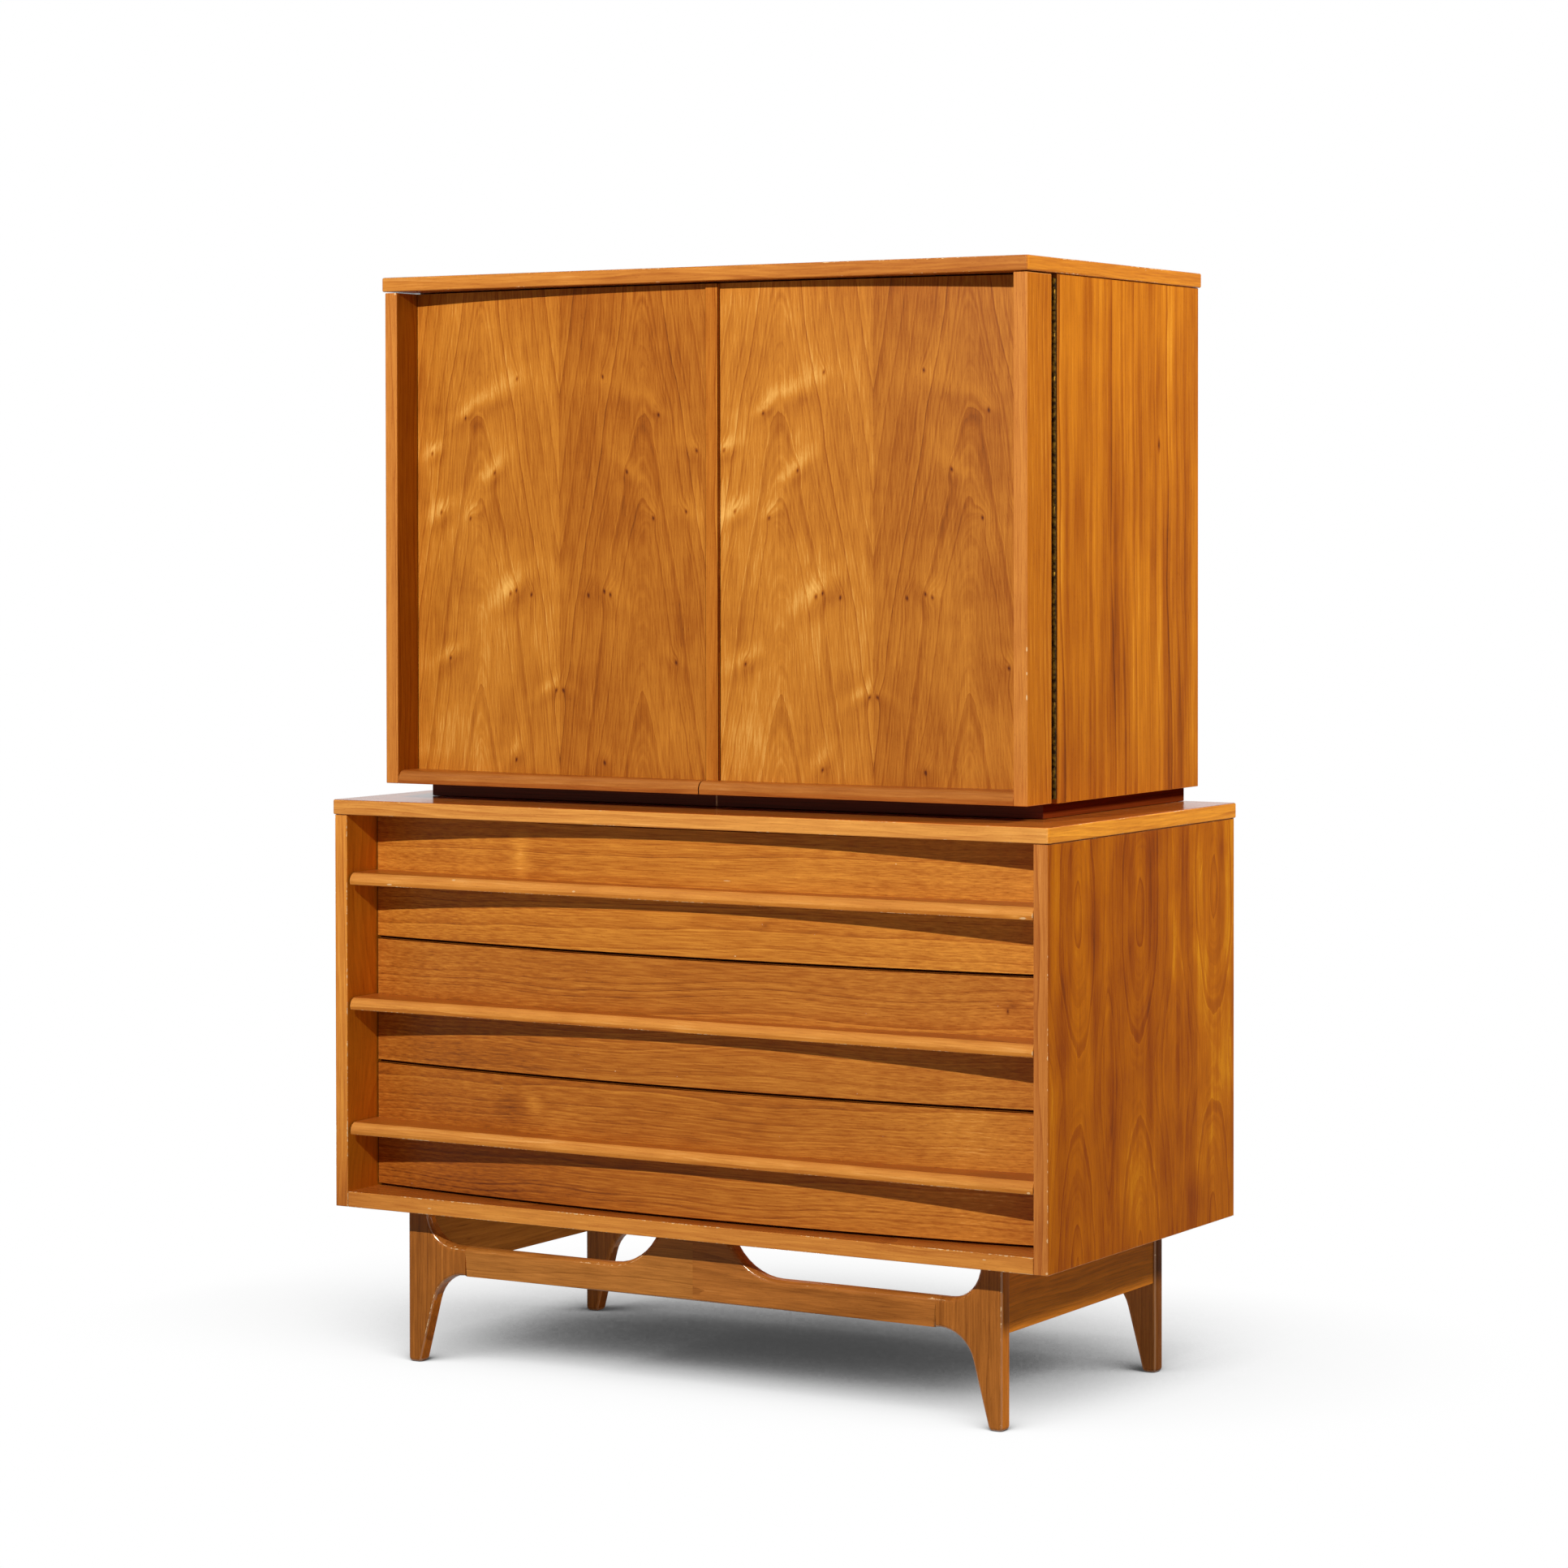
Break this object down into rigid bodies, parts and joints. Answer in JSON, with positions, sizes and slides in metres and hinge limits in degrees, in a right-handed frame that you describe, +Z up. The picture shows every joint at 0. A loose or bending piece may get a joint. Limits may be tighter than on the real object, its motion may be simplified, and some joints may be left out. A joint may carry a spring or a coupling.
{
  "type": "highboy chest of drawers",
  "caption": "Walnut highboy: bow-fronted drawers with straight finger lips below a set-back cupboard with bowed doors on piano hinges, on a scooped leg base.",
  "frame": {"origin": "on the floor, under the middle of the bounding box", "axes": "+X to the right seen from the front, +Y towards the back, +Z up"},
  "size_m": [1.016, 0.508, 1.3675],
  "materials": {
    "walnut_veneer": "satin lacquer over figured walnut veneer, matched leaves",
    "walnut_solid": "satin lacquered solid walnut, lips worn pale at their edges",
    "base_walnut": "satin lacquered walnut, duller than the cases, hand rounded",
    "drawer_wood": "pale secondary wood, thinly sealed",
    "plywood": "thin plywood, unfinished",
    "dark_plinth": "walnut stained almost black, satin",
    "hinge_brass": "aged dull brass"
  },
  "bodies": {
    "carcass": {"front_left_leg": "base_walnut", "front_rail_left": "base_walnut", "front_rail_right": "base_walnut", "front_right_leg": "base_walnut", "rear_left_leg": "base_walnut", "rear_rail_left": "base_walnut", "rear_rail_right": "base_walnut", "rear_right_leg": "base_walnut", "side_apron_left": "base_walnut", "side_apron_right": "base_walnut", "cleat_left": "base_walnut", "cleat_right": "base_walnut", "chest_top": "walnut_veneer", "chest_side_left": "walnut_veneer", "chest_side_right": "walnut_veneer", "chest_floor": "walnut_solid", "chest_back": "plywood", "dust_frame_lower": "drawer_wood", "dust_frame_upper": "drawer_wood", "plinth": "dark_plinth", "cupboard_top": "walnut_veneer", "cupboard_side_left": "walnut_veneer", "cupboard_side_right": "walnut_veneer", "cupboard_floor": "walnut_veneer", "cupboard_partition": "walnut_veneer", "shelf_left": "walnut_veneer", "shelf_right": "walnut_veneer", "cupboard_back": "plywood", "left_hinge_case_leaf": "hinge_brass", "right_hinge_case_leaf": "hinge_brass"},
    "bottom_drawer": {"bottom_drawer_front": "walnut_veneer", "bottom_drawer_lip": "walnut_solid", "bottom_drawer_side_left": "drawer_wood", "bottom_drawer_side_right": "drawer_wood", "bottom_drawer_back": "drawer_wood", "bottom_drawer_bottom": "plywood"},
    "middle_drawer": {"middle_drawer_front": "walnut_veneer", "middle_drawer_lip": "walnut_solid", "middle_drawer_side_left": "drawer_wood", "middle_drawer_side_right": "drawer_wood", "middle_drawer_back": "drawer_wood", "middle_drawer_bottom": "plywood"},
    "top_drawer": {"top_drawer_front": "walnut_veneer", "top_drawer_lip": "walnut_solid", "top_drawer_side_left": "drawer_wood", "top_drawer_side_right": "drawer_wood", "top_drawer_back": "drawer_wood", "top_drawer_bottom": "plywood"},
    "left_door": {"left_door_stile": "walnut_solid", "left_door_panel": "walnut_veneer", "left_door_lip": "walnut_solid", "left_hinge_door_leaf": "hinge_brass"},
    "right_door": {"right_door_stile": "walnut_solid", "right_door_panel": "walnut_veneer", "right_door_meeting_strip": "walnut_solid", "right_door_lip": "walnut_solid", "right_hinge_door_leaf": "hinge_brass"}
  },
  "joints": [
    {"name": "bottom_drawer_slide", "type": "slide", "parent": "carcass", "child": "bottom_drawer", "axis": [0, -1, 0], "range_m": [0, 0.33]},
    {"name": "middle_drawer_slide", "type": "slide", "parent": "carcass", "child": "middle_drawer", "axis": [0, -1, 0], "range_m": [0, 0.33]},
    {"name": "top_drawer_slide", "type": "slide", "parent": "carcass", "child": "top_drawer", "axis": [0, -1, 0], "range_m": [0, 0.33]},
    {"name": "left_door_hinge", "type": "hinge", "parent": "carcass", "child": "left_door", "pos_m": [-0.45315, -0.1359, 1.038], "axis": [0, 0, -1], "range_deg": [0, 135]},
    {"name": "right_door_hinge", "type": "hinge", "parent": "carcass", "child": "right_door", "pos_m": [0.45315, -0.1359, 1.038], "axis": [0, 0, 1], "range_deg": [0, 135]}
  ]
}
